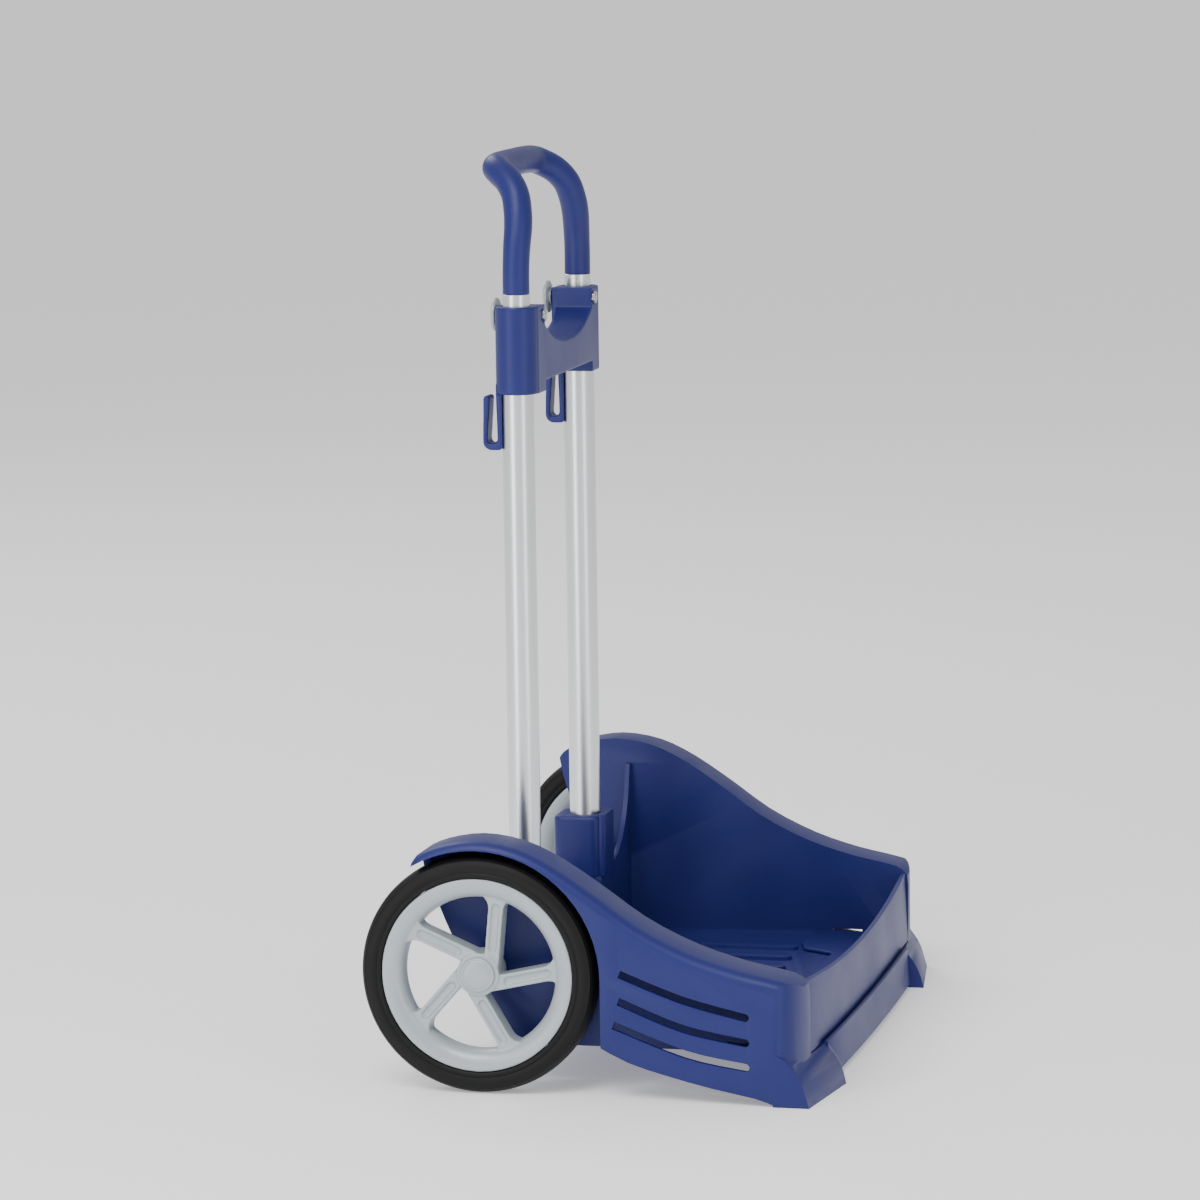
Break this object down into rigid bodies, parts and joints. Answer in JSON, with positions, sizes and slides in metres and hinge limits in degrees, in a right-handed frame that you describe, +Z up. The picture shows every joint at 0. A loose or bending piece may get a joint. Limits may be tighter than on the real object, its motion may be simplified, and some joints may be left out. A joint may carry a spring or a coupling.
{
  "type": "school bag trolley",
  "caption": "Wheeled trolley for a school bag: a moulded tray with flared front feet, spoked wheels, and a telescoping U handle on tubes with strap hooks",
  "frame": {"origin": "ground level, in the middle of the trolley's length and width", "axes": "+Z up, wheel axle along X, front of the tray towards -Y, handle and wheels towards +Y"},
  "size_m": [0.412, 0.2874, 0.5609],
  "materials": {
    "blue_polypropylene": "satin moulded",
    "grey_abs": "satin moulded",
    "black_rubber": "matt",
    "black_nylon": "satin moulded",
    "anodised_aluminium": "satin anodised",
    "zinc_plated_steel": "satin plated"
  },
  "bodies": {
    "chassis": {"tray": "blue_polypropylene", "front_panel": "blue_polypropylene", "axle": "zinc_plated_steel", "retaining_washer_left": "zinc_plated_steel", "retaining_washer_right": "zinc_plated_steel", "wheel_spacer_left": "black_nylon", "wheel_spacer_right": "black_nylon", "outer_tube_left": "anodised_aluminium", "outer_tube_right": "anodised_aluminium", "tube_socket_left": "blue_polypropylene", "tube_socket_right": "blue_polypropylene", "socket_screw_left": "zinc_plated_steel", "socket_screw_right": "zinc_plated_steel", "cross_head": "blue_polypropylene", "clamp_nut_left": "zinc_plated_steel", "clamp_nut_right": "zinc_plated_steel"},
    "wheel_left": {"rim_left": "grey_abs", "tyre_left": "black_rubber", "hub_cap_left": "grey_abs"},
    "wheel_right": {"rim_right": "grey_abs", "tyre_right": "black_rubber", "hub_cap_right": "grey_abs"},
    "handle": {"handle": "blue_polypropylene", "inner_tube_left": "anodised_aluminium", "inner_tube_right": "anodised_aluminium", "glide_plug_left": "black_nylon", "glide_plug_right": "black_nylon"},
    "knob_left": {"clamp_knob_left": "grey_abs", "clamp_bolt_left": "zinc_plated_steel"},
    "knob_right": {"clamp_knob_right": "grey_abs", "clamp_bolt_right": "zinc_plated_steel"}
  },
  "joints": [
    {"name": "wheel_left_spin", "type": "hinge", "parent": "chassis", "child": "wheel_left", "pos_m": [-0.1924, 0.0705, 0.0732], "axis": [1, 0, 0], "continuous": true},
    {"name": "wheel_right_spin", "type": "hinge", "parent": "chassis", "child": "wheel_right", "pos_m": [0.1924, 0.0705, 0.0732], "axis": [1, 0, 0], "continuous": true},
    {"name": "handle_slide", "type": "slide", "parent": "chassis", "child": "handle", "axis": [0, 0, 1], "range_m": [0, 0.28]},
    {"name": "knob_left_turn", "type": "hinge", "parent": "chassis", "child": "knob_left", "pos_m": [-0.0664, 0.087, 0.4617], "axis": [0, 1, 0], "range_deg": [0, 270]},
    {"name": "knob_right_turn", "type": "hinge", "parent": "chassis", "child": "knob_right", "pos_m": [0.0664, 0.087, 0.4617], "axis": [0, 1, 0], "range_deg": [0, 270]}
  ]
}
